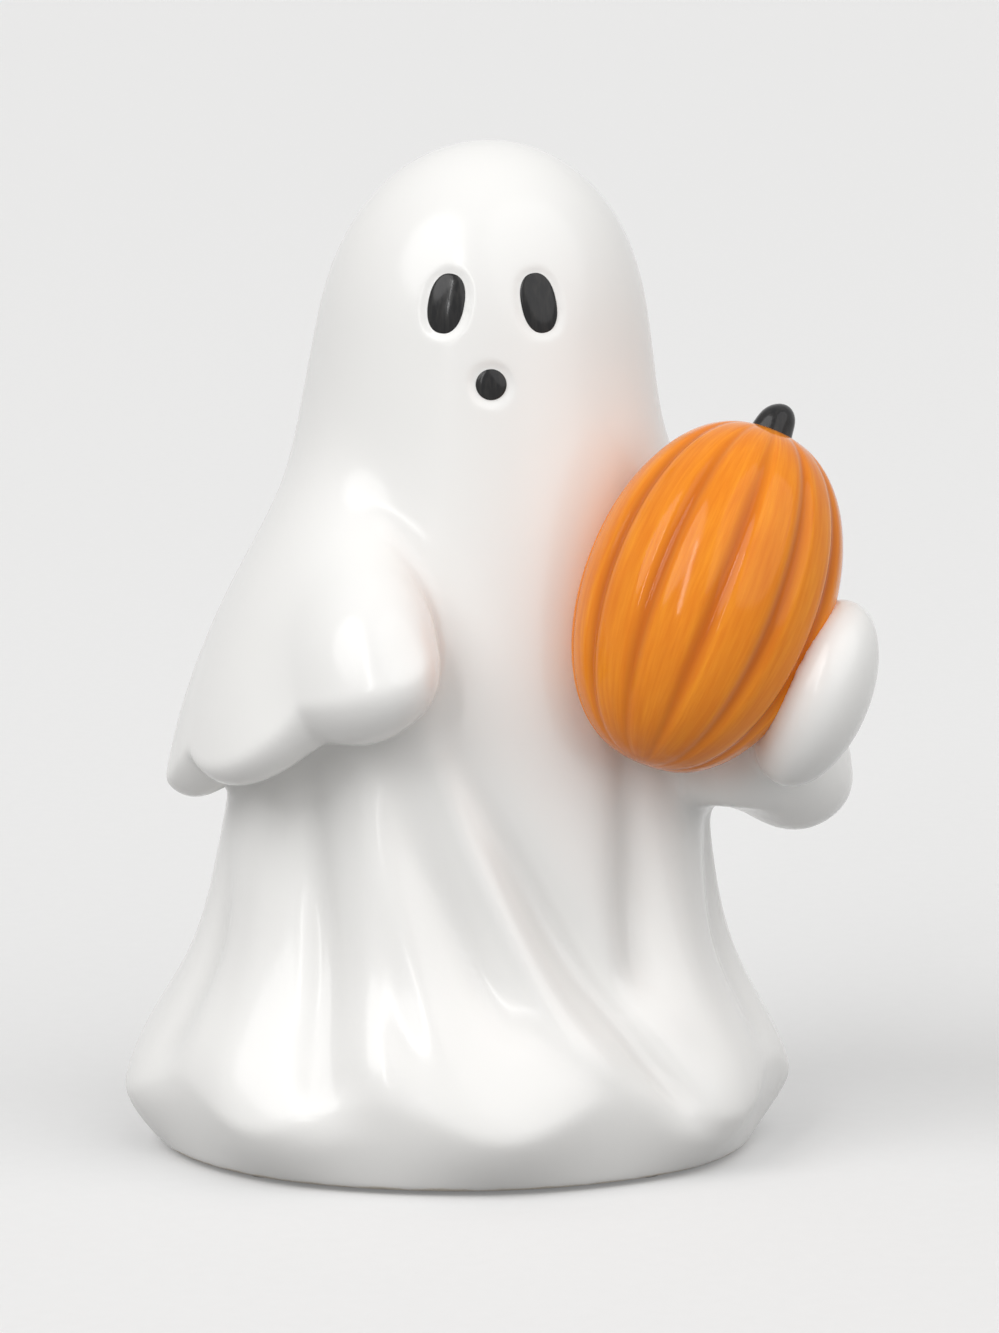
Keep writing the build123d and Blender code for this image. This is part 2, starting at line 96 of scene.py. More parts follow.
# Underside
WALL = 4.0
FOLD_ALLOWANCE = 3.4
SKIRT_TOP = 100.0
FOLDS_ABOVE_WAIST = 36.0
CAVITY_FLOOR = 5.8
CAVITY_TOP = 184.0
RING_WIDTH = 12.0
RECESS_DEPTH = 2.0
POUR_HOLE_DIAMETER = 20.0

# Sleeves: bearing, height, stand-off, span and thickness at the shoulder and at the hem, with the hem's tilt,
# how much of the swell comes early and how far the hem slants
RIGHT_SHOULDER = (-66.0, 136.0, -10.0, 14.0, 10.0)
RIGHT_HEM = (-45.0, 87.0, 3.2, 66.0, 35.0, 21.0, 0.35, 18.0)
# Angles round a hem where two of its scallops meet
RIGHT_NOTCHES = (-30.0, 60.0, 126.0, 172.0, 215.0)
# Lobes in the hems: angle round the hem, share of its reach, width, depth, length and drop
RIGHT_HAND = (4.0, 0.62, 22.0, 23.0, 29.0, -4.0)
LEFT_SHOULDER = (88.0, 136.0, -9.0, 16.0, 10.0)
LEFT_HEM = (80.0, 72.0, 8.5, 44.0, 34.0, -4.0, 1.0, 0.0)
LEFT_NOTCHES = (20.0, 110.0)
LEFT_CUFF = (72.0, 0.45, 30.0, 19.5, 27.0, -3.0)
# Share of the way to the hem from which a lobe takes its lean
LOBE_LEANS_FROM = 0.6
SCALLOP_DROP = 4.5
SCALLOP_BULGE = 2.2
SCALLOP_RISE = 14.0
SLEEVE_ROLL = 7.0
MITT_SIZE = (19.5, 28.0, 36.0)
MITT_OFFSET = (19.8, -1.0, -17.5)
MITT_LEAN = 22.0

# Pumpkin and stem
PUMPKIN_LENGTH = 65.0
PUMPKIN_WIDTH = 45.5
PUMPKIN_BEARING = 49.0
PUMPKIN_HEIGHT = 108.0
PUMPKIN_SINK = 5.0
PUMPKIN_LEAN = 21.0
PUMPKIN_TIP_BACK = 14.0
PUMPKIN_RIBS = 12
PUMPKIN_GROOVE = 1.0
PUMPKIN_GROOVE_BREADTH = 4.4
PUMPKIN_ROUNDNESS = 0.86
STEM_LENGTH = 5.2
STEM_BASE_DIAMETER = 8.8
STEM_TIP_DIAMETER = 5.6
STEM_SINK = 3.0
STEM_BEND = 0.8

# Face: the powers set how square the spots' outlines are
FACE_BEARING = 3.4
EYE_SPREAD = 16.8
EYE_HEIGHT = 160.5
EYE_SIZE = (6.7, 11.0)
EYE_LEAN = 8.0
EYE_POWER = 2.3
MOUTH_HEIGHT = 146.0
MOUTH_SIZE = (5.6, 5.6)
MOUTH_POWER = 2.0
DIMPLE_MARGIN = 1.6
DIMPLE_RIM = 0.35

# Box of the grid in which the white skin is blended, the reach of its distances, and the glaze that pools in hollows,
# greyed there partly as thick glaze and partly as painted shade
SKIN_LOW = (-74.0, -64.0, -3.2)
SKIN_HIGH = (84.0, 62.0, 192.0)
SKIN_BAND = 12.5
POOL_AND_SHADE_REACH = 2.4
POOL_AND_SHADE_DEPTH = 0.45
PUMPKIN_SEAT = 0.5

# Pads, with the share of the radius and of the thickness at each ring of their edge
PAD_DIAMETER = 6.0
PAD_THICKNESS = 0.8
PAD_BEARINGS = (45.0, 135.0, 225.0, 315.0)
PAD_EDGE = ((0.5, 0.0), (0.9, 0.0), (0.97, 0.04), (1.0, 0.15), (1.0, 0.8), (0.99, 0.98), (0.6, 1.0))

# Camera of the photograph, in millimetres
VIEW_TARGET = (0.8, 1.3, 90.0)
VIEW_DISTANCE = 1200.0
VIEW_ELEVATION = 8.8
VIEW_HEIGHT_PIXELS = 1333
VIEW_FOCAL_PIXELS = 6444.0

# Lamps, in metres and degrees
KEY_PLACE = (-0.80, -0.75, 1.00)
KEY_SPREAD = 42.0
FILL_PLACE = (0.85, -0.85, 0.95)
FILL_SPREAD = 70.0
STRIP_PLACE = (-0.70, -1.90, 1.10)
STRIP_SIZE = (0.06, 1.20)
FLOOR_REACH = 6.0


def mix(start, end, share):
    """Value a share of the way from start to end."""
    return start + (end - start) * share


def ease(share):
    """Smooth step from 0 to 1."""
    share = np.clip(share, 0.0, 1.0)
    return share * share * (3.0 - 2.0 * share)


def unit(vector):
    """The same direction with length 1."""
    vector = np.asarray(vector, dtype=float)
    return vector / np.linalg.norm(vector, axis=-1, keepdims=True)


def straight_half(height, sizes):
    """Half size of the cloak's plain cone."""
    share = (height - WAIST_HEIGHT) / (BROW_HEIGHT - WAIST_HEIGHT)
    return mix(sizes[2], sizes[3], share) / 2.0


def cloak_half(height, sizes):
    """Half size of the smooth cloak in one of its two directions."""
    foot, hem = sizes[0] / 2.0, sizes[1] / 2.0
    below = np.clip((HEM_HEIGHT - height) / (HEM_HEIGHT - FOOT_LEVEL), 0.0, 1.0)
    undercut = hem - (hem - foot) * below**UNDERCUT_POWER
    flare = hem - straight_half(HEM_HEIGHT, sizes)
    cone = straight_half(height, sizes) + flare * np.exp(-(((height - HEM_HEIGHT) / FLARE_HEIGHT) ** 2))
    rise = np.clip((height - BROW_HEIGHT) / (TOTAL_HEIGHT - BROW_HEIGHT), 0.0, 1.0)
    return np.where(height <= HEM_HEIGHT, undercut, cone * np.sqrt(1.0 - rise**DOME_POWER))


def cloak_shift(height):
    """How far the cloak's middle has moved towards +X."""
    return mix(FOOT_SHIFT, HEAD_SHIFT, height / TOTAL_HEIGHT)


def hem_wave(bearing, height):
    """Wave of the scalloped hem, fading above and below it."""
    below = (height - FOOT_LEVEL) / (HEM_HEIGHT - FOOT_LEVEL)
    above = np.exp(-(((height - HEM_HEIGHT) / FLARE_HEIGHT) ** 2))
    share = np.where(height <= HEM_HEIGHT, below, above)
    return share * np.cos(np.radians(HEM_SCALLOPS * (bearing - HEM_SCALLOP_BEARING)))


def fold_depth(bearing, height):
    """Depth of the skirt's folds."""
    depth = np.zeros(np.broadcast(bearing, height).shape)
    for at_hem, drift, lowest, highest, deepest, breadth in SKIRT_FOLDS:
        middle = at_hem + drift * (height - HEM_HEIGHT)
        away = ((bearing - middle + 180.0) % 360.0 - 180.0) / breadth
        fade = ease((height - lowest) / FOLD_FADE_BELOW) * ease((highest - height) / (FOLD_FADE_ABOVE * highest))
        depth = depth + deepest * fade * np.exp(-away * away)
    return depth


def cloak_point(bearing, height, inset=0.0, draped=False):
    """Points on the cloak; draped adds the folds and the scalloped hem."""
    bearing, height = np.broadcast_arrays(np.asarray(bearing, dtype=float), np.asarray(height, dtype=float))
    angle = np.radians(bearing)
    wave = hem_wave(bearing, height) if draped else 0.0 * height
    grow = HEM_BULGE * wave - inset
    if draped:
        grow = grow - fold_depth(bearing, height)
    x = cloak_shift(height) + (cloak_half(height, CLOAK_WIDTHS) + grow) * np.sin(angle)
    y = -(cloak_half(height, CLOAK_DEPTHS) + grow) * np.cos(angle)
    return np.stack([x, y, height - HEM_WAVE * wave], axis=-1)


def outward(bearing):
    """Level direction away from the figure."""
    angle = math.radians(bearing)
    return np.array((math.sin(angle), -math.cos(angle), 0.0))


def cloak_normal(bearing, height):
    """Outward direction of the smooth cloak."""
    step = 0.5
    across = cloak_point(bearing + step, height) - cloak_point(bearing - step, height)
    rise = cloak_point(bearing, height + step) - cloak_point(bearing, height - step)
    return unit(np.cross(across, rise))


def rows_solid(rows):
    """Vertices, quads and triangles of a closed body through rings of points, from its first ring to its last."""
    rows = np.asarray(rows, dtype=float)
    count, around = rows.shape[:2]
    verts = np.concatenate([rows.reshape(-1, 3), rows[0].mean(axis=0)[None], rows[-1].mean(axis=0)[None]])
    here = np.arange(around)
    after = (here + 1) % around
    quads = []
    for row in range(count - 1):
        low, high = row * around, (row + 1) * around
        quads.append(np.stack([low + here, low + after, high + after, high + here], axis=1))
    first, last = count * around, count * around + 1
    top = (count - 1) * around
    tris = np.concatenate([
        np.stack([after, here, np.full(around, first)], axis=1),
        np.stack([top + here, top + after, np.full(around, last)], axis=1),
    ])
    return verts, np.concatenate(quads), tris


def cloak_rows():
    """Rings of the whole cloak and head, from the foot to the crown."""
    bearings = np.arange(0.0, 360.0, 0.5)
    rise = np.sin(np.linspace(0.03, 1.555, 60)) ** (2.0 / DOME_POWER)
    dome = BROW_HEIGHT + (TOTAL_HEIGHT - BROW_HEIGHT) * rise
    heights = np.concatenate([
        np.linspace(FOOT_LEVEL, HEM_HEIGHT, 28, endpoint=False),
        np.linspace(HEM_HEIGHT, BROW_HEIGHT, 230),
        dome,
    ])
    return cloak_point(bearings[None, :], heights[:, None], draped=True)


def cavity_rows():
    """Rings of the hollow that slip casting leaves."""
    bearings = np.arange(0.0, 360.0, 3.0)
    heights = np.linspace(CAVITY_FLOOR, BROW_HEIGHT, 40)
    inset = WALL + FOLD_ALLOWANCE * ease((SKIRT_TOP - heights) / FOLDS_ABOVE_WAIST)
    rows = list(cloak_point(bearings[None, :], heights[:, None], inset=inset[:, None]))
    brow = rows[-1]
    middle = np.array((cloak_shift(BROW_HEIGHT), 0.0, BROW_HEIGHT))
    for angle in np.linspace(0.1, 1.52, 14):
        lift = np.array((0.0, 0.0, (CAVITY_TOP - BROW_HEIGHT) * math.sin(angle)))
        rows.append(middle + (brow - middle) * math.cos(angle) + lift)
    return rows


def sleeve_frame(shoulder, hem, share):
    """Centre, directions and half sizes of a sleeve's section, a share of the way to its hem."""
    swell = mix(share, math.sin(share * math.pi / 2.0), hem[6])
    bearing, height = mix(shoulder[0], hem[0], share), mix(shoulder[1], hem[1], share)
    stand_off, span, thickness = (mix(a, b, swell) for a, b in zip(shoulder[2:5], hem[2:5]))
    tilt = math.radians(hem[5] * share)
    out = outward(bearing)
    level = np.array((-out[1], out[0], 0.0))
    along = level * math.cos(tilt) + np.array((0.0, 0.0, math.sin(tilt)))
    centre = cloak_point(bearing, height) + out * stand_off
    slant = math.radians(hem[7] * share * share)
    aside = out * math.cos(slant) + np.cross(along, out) * math.sin(slant)
    return centre, along, aside, np.cross(along, aside), span / 2.0, thickness / 2.0


def scallop(turn, notches):
    """1 on the middle of a hem's scallop, falling to 0 where two of them meet and beyond the last ones."""
    degrees = (np.degrees(turn) - notches[0]) % 360.0 + notches[0]
    wave = np.zeros_like(degrees)
    for low, high in zip(notches[:-1], notches[1:]):
        share = np.clip((degrees - low) / (high - low), 0.0, 1.0)
        wave = np.maximum(wave, np.sin(math.pi * share) ** 0.9)
    return wave


def sleeve_rows(shoulder, hem, notches):
    """Rings of a sleeve from the shoulder to its rounded, scalloped lip."""
    turn = np.linspace(0.0, 2.0 * math.pi, 240, endpoint=False)
    wave = scallop(turn, notches)
    rings = [(share, 0.0, 0.0, 1.0) for share in np.linspace(0.0, 1.0, 90)]
    for angle in np.linspace(0.08, math.pi / 2.0, 16):
        rings.append((1.0, SLEEVE_ROLL * (1.0 - math.cos(angle)), SLEEVE_ROLL * math.sin(angle), math.cos(angle)))
    drop = shoulder[1] - hem[1]
    rows = []
    for share, inset, depth, kept in rings:
        centre, along, out, down, half_span, half_thick = sleeve_frame(shoulder, hem, share)
        left = math.exp(-(((1.0 - share) * drop / SCALLOP_RISE) ** 2)) * mix(0.6, 1.0, kept)
        across = (np.outer(np.cos(turn), along) * (half_span - inset)
                  + np.outer(np.sin(turn), out) * (half_thick - inset))
        bulge = unit(across) * (SCALLOP_BULGE * (2.0 * wave - 1.0) * left)[:, None]
        hang = np.outer(SCALLOP_DROP * (wave - 0.5) * left, down)
        rows.append(centre + down * depth + across + bulge + hang)
    return rows


def egg_rows(centre, axes, sizes):
    """Rings of a rounded lobe with its sizes along three directions."""
    turn = np.linspace(0.0, 2.0 * math.pi, 64, endpoint=False)
    rows = []
    for latitude in np.linspace(-1.53, 1.53, 40):
        shrink = math.cos(latitude) / 2.0
        ring = (np.outer(np.cos(turn), axes[0]) * sizes[0] * shrink
                + np.outer(np.sin(turn), axes[1]) * sizes[1] * shrink)
        rows.append(centre + ring + axes[2] * (sizes[2] / 2.0 * math.sin(latitude)))
    return rows


def lobe_rows(shoulder, hem, lobe):
    """Rings of one scallop of a sleeve's hem."""
    turn, reach, width, depth, length, drop = lobe
    centre, along, out, down, half_span, half_thick = sleeve_frame(shoulder, hem, 1.0)
    angle = math.radians(turn)
    place = along * (half_span * reach * math.cos(angle)) + out * (half_thick * reach * math.sin(angle))
    fall = unit(centre - sleeve_frame(shoulder, hem, LOBE_LEANS_FROM)[0])
    round_hem = along * (-half_span * math.sin(angle)) + out * (half_thick * math.cos(angle))
    level = unit(round_hem - fall * np.dot(round_hem, fall))
    axes = (level, np.cross(fall, level), fall)
    return egg_rows(centre + place + fall * drop, axes, (width, depth, length))


def pumpkin_axes():
    """Middle of the pumpkin and its three directions, the last one along its axis."""
    reach = PUMPKIN_WIDTH / 2.0 - PUMPKIN_SINK
    centre = cloak_point(PUMPKIN_BEARING, PUMPKIN_HEIGHT) + outward(PUMPKIN_BEARING) * reach
    lean, back = math.radians(PUMPKIN_LEAN), math.radians(PUMPKIN_TIP_BACK)
    axis = np.array((math.sin(lean), math.cos(lean) * math.sin(back), math.cos(lean) * math.cos(back)))
    across = unit(np.cross((0.0, 1.0, 0.0), axis))
    return centre, across, np.cross(axis, across), axis


def mitt_rows():
    """Rings of the mitt that leans against the pumpkin's side."""
    lean = math.radians(MITT_LEAN)
    upright = np.array((math.sin(lean), 0.0, math.cos(lean)))
    level = np.array((math.cos(lean), 0.0, -math.sin(lean)))
    centre = pumpkin_axes()[0] + np.array(MITT_OFFSET)
    return egg_rows(centre, (level, np.cross(upright, level), upright), MITT_SIZE)


def kept_outside(points, sink):
    """Points moved out of the cloak, where they lie deeper in it than the given sink."""
    height = points[..., 2]
    offset = points[..., 0] - cloak_shift(height)
    half_width, half_depth = cloak_half(height, CLOAK_WIDTHS), cloak_half(height, CLOAK_DEPTHS)
    bearing = np.degrees(np.arctan2(offset / half_width, -points[..., 1] / half_depth))
    surface = cloak_point(bearing, height, inset=sink)
    inside = np.hypot(offset / (half_width - sink), points[..., 1] / (half_depth - sink)) < 1.0
    return np.where(inside[..., None], surface, points)


def pumpkin_rows():
    """Rings of the ribbed pumpkin with its groove share, turn and latitude for each point."""
    centre, across, aside, axis = pumpkin_axes()
    turn = np.linspace(0.0, 360.0, PUMPKIN_RIBS * 28, endpoint=False)
    latitude = np.linspace(-1.54, 1.54, 130)[:, None]
    half_rib = 180.0 / PUMPKIN_RIBS
    off = (turn + half_rib) % (2.0 * half_rib) - half_rib
    groove = np.exp(-((off / PUMPKIN_GROOVE_BREADTH) ** 2))[None, :] * np.cos(latitude)
    radius = PUMPKIN_WIDTH / 2.0 * np.cos(latitude) ** PUMPKIN_ROUNDNESS - PUMPKIN_GROOVE * groove
    angle = np.radians(turn)[None, :]
    rise = PUMPKIN_LENGTH / 2.0 * np.sin(latitude)
    rows = (centre + (radius * np.cos(angle))[..., None] * across + (radius * np.sin(angle))[..., None] * aside
            + (rise + 0.0 * angle)[..., None] * axis)
    turns, latitudes = (np.broadcast_to(values, groove.shape) for values in (angle, latitude))
    return kept_outside(rows, PUMPKIN_SEAT), groove, turns, latitudes


class Skin:
    """Distance field on a regular grid, in which the white pieces are blended."""

    def __init__(self, step, low, high, band):
        self.step = step
        self.band = band
        self.transform = openvdb.createLinearTransform(voxelSize=step)
        self.origin = tuple(int(math.floor(v / step)) for v in low)
        top = tuple(int(math.ceil(v / step)) for v in high)
        self.shape = tuple(b - a + 1 for a, b in zip(self.origin, top))

    def distance(self, rows):
        """Signed distance from a closed body through rings of points."""
        verts, quads, tris = rows_solid(rows)
        grid = openvdb.FloatGrid.createLevelSetFromPolygons(
            verts.astype(np.float32), triangles=tris.astype(np.uint32), quads=quads.astype(np.uint32),
            transform=self.transform, halfWidth=self.band / self.step)
        dense = np.empty(self.shape, dtype=np.float32)
        grid.copyToArray(dense, ijk=self.origin)
        return dense

    def axes(self):
        """Coordinates of the grid along its three directions."""
        return [((np.arange(n) + o) * self.step).astype(np.float32) for n, o in zip(self.shape, self.origin)]

    def surface(self, field):
        """Points and quads where the field is zero."""
        grid = openvdb.FloatGrid(background=self.band)
        grid.copyFromArray(field, ijk=self.origin)
        grid.transform = self.transform
        points, quads = grid.convertToQuads(0.0)
        return np.asarray(points, dtype=float), np.asarray(quads, dtype=np.int64)

    def sample(self, field, points):
        """Field values at points, linear between grid points."""
        place = points / self.step - np.array(self.origin)
        base = np.clip(np.floor(place).astype(int), 0, np.array(self.shape) - 2)
        part = place - base
        value = 0.0
        for corner in range(8):
            shift = np.array((corner & 1, corner >> 1 & 1, corner >> 2 & 1))
            weight = np.prod(np.where(shift, part, 1.0 - part), axis=1)
            index = base + shift
            value = value + weight * field[index[:, 0], index[:, 1], index[:, 2]]
        return value


def joined(first, second, reach):
    """Union of two distance fields with a soft fillet of the given reach."""
    share = np.maximum(reach - np.abs(first - second), 0.0) / reach
    return np.minimum(first, second) - share ** 3 * (reach / 6.0)


def softened(field, radius):
    """Field averaged over a small box in each direction, twice."""
    for _ in range(2):
        for axis in range(3):
            padded = np.concatenate([np.repeat(np.take(field, [0], axis), radius + 1, axis), field,
                                     np.repeat(np.take(field, [-1], axis), radius, axis)], axis)
            total = np.cumsum(padded, axis=axis, dtype=np.float64)
            count = 2 * radius + 1
            upper = np.take(total, np.arange(count, total.shape[axis]), axis)
            lower = np.take(total, np.arange(0, total.shape[axis] - count), axis)
            field = ((upper - lower) / count).astype(np.float32)
    return field


def mesh_object(name, verts, faces, values=None, smooth_sweeps=0):
    """Smooth-shaded mesh object from points in millimetres about the foot, with named values on its points."""
    mesh = bpy.data.meshes.new(name)
    placed = (np.asarray(verts) + FOOT_CENTRE) * MM
    faces = [np.asarray(group, dtype=np.int32) for group in faces if len(group)]
    sizes = np.concatenate([np.full(len(group), group.shape[1], dtype=np.int32) for group in faces])
    mesh.vertices.add(len(placed))
    mesh.vertices.foreach_set("co", placed.astype(np.float32).ravel())
    mesh.loops.add(int(sizes.sum()))
    mesh.loops.foreach_set("vertex_index", np.concatenate([group.ravel() for group in faces]))
    mesh.polygons.add(len(sizes))
    mesh.polygons.foreach_set("loop_start", np.concatenate([[0], np.cumsum(sizes)[:-1]]).astype(np.int32))
    mesh.update(calc_edges=True)
    mesh.validate()
    mesh.shade_smooth()
    for key, data in (values or {}).items():
        mesh.attributes.new(key, "FLOAT", "POINT").data.foreach_set("value", np.asarray(data, dtype=np.float32))
    thing = bpy.data.objects.new(name, mesh)
    bpy.context.scene.collection.objects.link(thing)
    if smooth_sweeps:
        sweep = thing.modifiers.new("Even out", "SMOOTH")
        sweep.factor = 0.5
        sweep.iterations = smooth_sweeps
        depsgraph = bpy.context.evaluated_depsgraph_get()
        thing.data = bpy.data.meshes.new_from_object(thing.evaluated_get(depsgraph))
        thing.modifiers.clear()
        thing.data.name = name
        bpy.data.meshes.remove(mesh)
    return thing


def face_plane(bearing, height):
    """Middle, level direction, upward direction and normal of a spot on the face."""
    normal = cloak_normal(bearing, height)
    angle = math.radians(bearing)
    level = np.array((math.cos(angle), math.sin(angle), 0.0))
    return cloak_point(bearing, height), level, np.cross(normal, level), normal


def face_spots():
    """Name, place, size, lean and power of each glazed spot on the face."""
    return (
        ("right_eye", FACE_BEARING - EYE_SPREAD, EYE_HEIGHT, EYE_SIZE, -EYE_LEAN, EYE_POWER),
        ("left_eye", FACE_BEARING + EYE_SPREAD, EYE_HEIGHT, EYE_SIZE, EYE_LEAN, EYE_POWER),
        ("mouth", FACE_BEARING, MOUTH_HEIGHT, MOUTH_SIZE, 0.0, MOUTH_POWER),
    )


def spot_axes(bearing, height, lean):
    """Middle and the three directions of a leaning spot on the face."""
    middle, level, up, normal = face_plane(bearing, height)
    angle = math.radians(lean)
    cos, sin = math.cos(angle), math.sin(angle)
    return middle, level * cos + up * sin, up * cos - level * sin, normal


def dimpled(points, depth, margin):
    """Skin points pressed in round the eyes and the mouth."""
    points = points.copy()
    for _, bearing, height, size, lean, power in face_spots():
        middle, across, up, normal = spot_axes(bearing, height, lean)
        away = points - middle
        u, v = away @ across, away @ up
        near = np.abs(away @ normal) < 8.0
        reach = (np.abs(u) / (size[0] / 2.0 + margin)) ** power + (np.abs(v) / (size[1] / 2.0 + margin)) ** power
        share = (1.0 + DIMPLE_RIM) * (1.0 - reach ** (1.0 / power)) / DIMPLE_RIM
        press = np.where(near, depth * ease(share), 0.0)
        points -= press[:, None] * normal
    return points


class Shader:
    """Small helper that lays out a material's nodes."""

    def __init__(self, name):
        self.material = bpy.data.materials.new(name)
        self.material.use_nodes = True
        self.tree = self.material.node_tree
        self.tree.nodes.clear()
        self.out = self.tree.nodes.new("ShaderNodeOutputMaterial")
        self.main = self.tree.nodes.new("ShaderNodeBsdfPrincipled")
        self.tree.links.new(self.main.outputs[0], self.out.inputs[0])

    def node(self, kind, settings=None, **sockets):
        """New node with its settings and with values or links on its named sockets."""
        made = self.tree.nodes.new("ShaderNode" + kind)
        for key, value in (settings or {}).items():
            setattr(made, key, value)
        for key, value in sockets.items():
            self.give(made.inputs[key.replace("_", " ")], value)
        return made

    def give(self, socket, value):
        """Links an output to a socket, or sets its value."""
        if isinstance(value, bpy.types.NodeSocket):
            self.tree.links.new(value, socket)
        else:
            socket.default_value = value

    def place(self):
        """Coordinates in the piece's own frame, in metres."""
        return self.node("TexCoord").outputs["Object"]

    def noise(self, vector, scale, detail=3.0, roughness=0.5):
        """Noise value between 0 and 1."""
        return self.node("TexNoise", Vector=vector, Scale=scale, Detail=detail, Roughness=roughness).outputs["Fac"]

    def ramp(self, value, low, high, start=0.0, end=1.0):
        """Value mapped from a range to another, without going past its ends."""
        made = self.node("MapRange", Value=value)
        made.clamp = True
        for key, number in (("From Min", low), ("From Max", high), ("To Min", start), ("To Max", end)):
            made.inputs[key].default_value = number
        return made.outputs["Result"]

    def math(self, kind, first, second):
        """Two values put together."""
        made = self.tree.nodes.new("ShaderNodeMath")
        made.operation = kind
        self.give(made.inputs[0], first)
        self.give(made.inputs[1], second)
        return made.outputs[0]

    def blend(self, share, first, second):
        """Colour between two colours."""
        made = self.tree.nodes.new("ShaderNodeMix")
        made.data_type = "RGBA"
        self.give(made.inputs["Factor"], share)
        self.give(made.inputs[6], first)
        self.give(made.inputs[7], second)
        return made.outputs[2]

    def value(self, name):
        """Named value stored on the piece's points."""
        return self.node("Attribute", {"attribute_name": name}).outputs["Fac"]

    def bump(self, height, strength, distance):
        """Small relief from a height."""
        return self.node("Bump", Height=height, Strength=strength, Distance=distance).outputs["Normal"]

    def finish(self, **sockets):
        """Sets the main shader's sockets and returns the material."""
        for key, value in sockets.items():
            self.give(self.main.inputs[key.replace("_", " ")], value)
        return self.material


def rgba(colour):
    """Colour with full cover."""
    return (colour[0], colour[1], colour[2], 1.0)


def white_glaze(look):
    """Milky gloss glaze that pools in the folds, greyed there partly as thick glaze and partly as painted shade, bare
    clay under the foot.
    """
    shader = Shader("white_glaze")
    place = shader.place()
    cloud = shader.noise(place, 38.0, 2.0)
    peel = shader.noise(place, 620.0, 2.0)
    grain = shader.noise(place, 2600.0, 3.0)
    white = shader.blend(cloud, rgba(look.white), rgba([c * 0.96 for c in look.white]))
    # Hollows painted greyer: partly glaze lying thick, partly painted shade in the folds and creases
    pool_and_shade = shader.math("MULTIPLY", shader.value("pool_and_shade"), 0.7)
    white = shader.blend(pool_and_shade, white, rgba(look.pooled_and_shaded))
    level = shader.node("SeparateXYZ", Vector=place).outputs["Z"]
    edge = shader.math("ADD", level, shader.ramp(shader.noise(place, 150.0), 0.0, 1.0, -0.0008, 0.0008))
    bare = shader.ramp(edge, 0.0013, 0.0018, 1.0, 0.0)
    clay = shader.blend(shader.ramp(grain, 0.3, 0.7), rgba(look.clay), rgba([c * 0.84 for c in look.clay]))
    gloss = shader.ramp(cloud, 0.0, 1.0, look.roughness * 0.75, look.roughness * 1.25)
    rough_clay = shader.math("MULTIPLY", shader.math("MULTIPLY", grain, bare), 3.0)
    relief = shader.math("ADD", shader.math("MULTIPLY", peel, 0.8), rough_clay)
    return shader.finish(
        Base_Color=shader.blend(bare, white, clay),
        Roughness=shader.math("ADD", gloss, shader.math("MULTIPLY", bare, 0.6)),
        Specular_IOR_Level=0.36,
        Coat_Weight=0.1,
        Coat_Roughness=0.12,
        Normal=shader.bump(relief, 0.25, 0.00006),
    )


def orange_glaze(look):
    """Brushed orange glaze, browner in the grooves and streaked along the ribs, with painted shade darkening its
    underside.
    """
    shader = Shader("orange_glaze")
    around = shader.node("CombineXYZ", X=shader.value("turn"), Y=shader.value("latitude"), Z=0.0).outputs[0]
    stretch = shader.node("Mapping", Vector=around)
    stretch.inputs["Scale"].default_value = (26.0, 2.6, 1.0)
    streak = shader.noise(stretch.outputs[0], 1.0, 4.0, 0.6)
    wide = shader.node("Mapping", Vector=around)
    wide.inputs["Scale"].default_value = (4.5, 1.4, 1.0)
    wash = shader.noise(wide.outputs[0], 1.0, 2.0)
    groove = shader.math("MULTIPLY", shader.value("groove"), shader.ramp(streak, 0.2, 0.75, 0.75, 1.2))
    colour = shader.blend(shader.ramp(streak, 0.35, 0.68), rgba(look.orange), rgba(look.light_orange))
    colour = shader.blend(shader.ramp(wash, 0.45, 0.72, 0.0, 0.45), colour, rgba(look.wash_and_shade_orange))
    colour = shader.blend(shader.ramp(groove, 0.12, 1.0, 0.0, 0.9), colour, rgba(look.groove_brown))
    # Painted shade: the pumpkin's underside is darkened towards the deeper orange
    low = shader.ramp(shader.value("latitude"), -1.5, -0.75, 0.6, 0.0)
    colour = shader.blend(low, colour, rgba(look.wash_and_shade_orange))
    peel = shader.math("MULTIPLY", shader.noise(shader.place(), 700.0), 0.5)
    relief = shader.math("ADD", shader.math("MULTIPLY", streak, 0.7), peel)
    return shader.finish(
        Base_Color=colour,
        Roughness=shader.ramp(streak, 0.3, 0.7, look.roughness * 0.8, look.roughness * 1.5),
        Specular_IOR_Level=0.22,
        Normal=shader.bump(relief, 0.12, 0.00012),
    )


def black_glaze(look):
    """Glossy black glaze with thin brushwork."""
    shader = Shader("black_glaze")
    place = shader.place()
    brush = shader.node("Mapping", Vector=place)
    brush.inputs["Scale"].default_value = (1400.0, 1400.0, 260.0)
    streak = shader.noise(brush.outputs[0], 1.0, 3.0)
    return shader.finish(
        Base_Color=shader.blend(shader.ramp(streak, 0.4, 0.75), rgba(look.black), rgba(look.thin_black)),
        Roughness=shader.ramp(streak, 0.3, 0.7, look.roughness * 0.8, look.roughness * 1.6),
        Specular_IOR_Level=0.25,
        Coat_Weight=0.1,
        Coat_Roughness=0.05,
        Normal=shader.bump(streak, 0.2, 0.00008),
    )


def pad_rubber(look):
    """Matt translucent-looking rubber of the pads."""
    shader = Shader("pad_rubber")
    grain = shader.noise(shader.place(), 1800.0, 3.0)
    return shader.finish(
        Base_Color=shader.blend(shader.ramp(grain, 0.3, 0.7), rgba(look.rubber), rgba([c * 0.8 for c in look.rubber])),
        Roughness=shader.ramp(grain, 0.3, 0.7, 0.5, 0.65),
        Normal=shader.bump(grain, 0.3, 0.00005),
    )


def settle(piece, material, slot, *nodes):
    """Gives a piece its finish and lets it stand for its CAD nodes."""
    piece.data.materials.clear()
    piece.data.materials.append(material)
    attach(piece, "root")
    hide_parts(*nodes)


